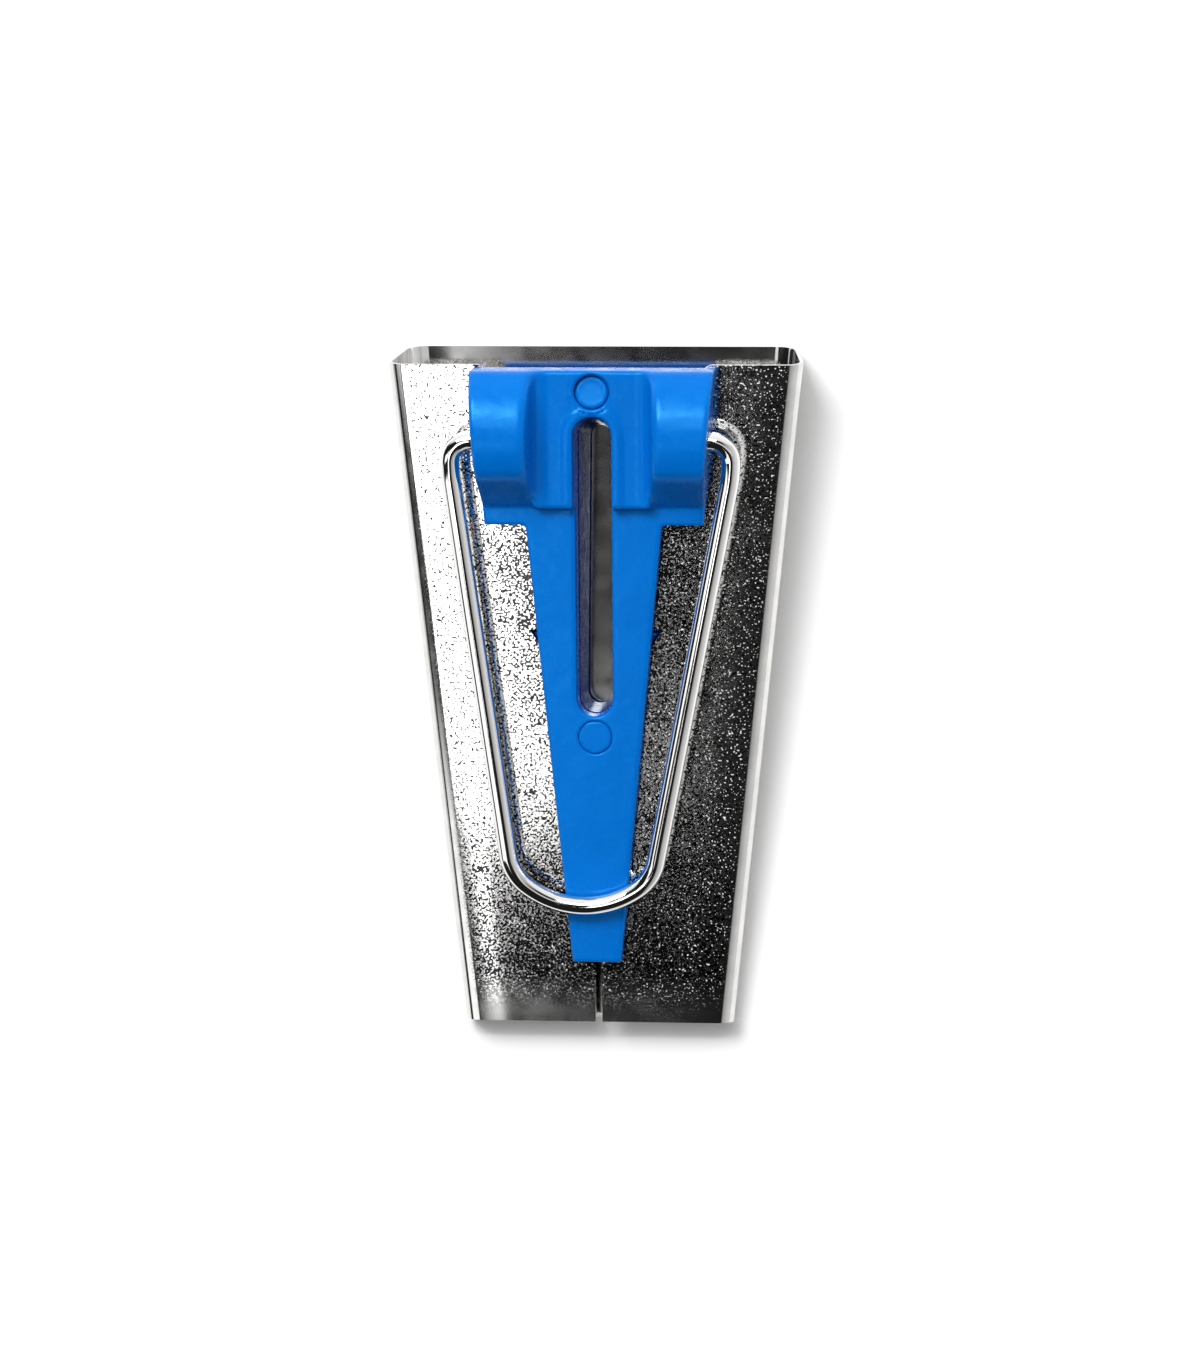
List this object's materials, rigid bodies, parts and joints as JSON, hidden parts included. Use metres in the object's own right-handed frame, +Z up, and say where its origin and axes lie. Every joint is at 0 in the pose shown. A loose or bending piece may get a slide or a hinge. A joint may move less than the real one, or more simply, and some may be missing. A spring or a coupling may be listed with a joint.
{
  "type": "bias tape maker",
  "caption": "Tapered folded-metal channel with a blue plastic guide and a hinged wire pull handle, for folding strips of fabric into bias tape.",
  "frame": {"origin": "middle of the base plate's underside, at the centre of the whole object's plan", "axes": "+X to the right seen from above with the narrow exit nearest, +Y towards the wide mouth, +Z up out of the flaps"},
  "size_m": [0.0396, 0.0654, 0.0149],
  "materials": {
    "shell": "nickel plate with a fine pebbled grain",
    "top_plate": "moulded, semi-gloss blue",
    "inner_guide": "moulded, semi-gloss blue",
    "handle": "polished bright plate"
  },
  "bodies": {
    "tool": {"shell": "shell", "top_plate": "top_plate", "inner_guide": "inner_guide"},
    "handle": {"handle": "handle"}
  },
  "joints": [
    {"name": "handle_hinge", "type": "hinge", "parent": "tool", "child": "handle", "pos_m": [0, 0.0241, 0.0128], "axis": [-1, 0, 0], "range_deg": [0, 188]}
  ]
}
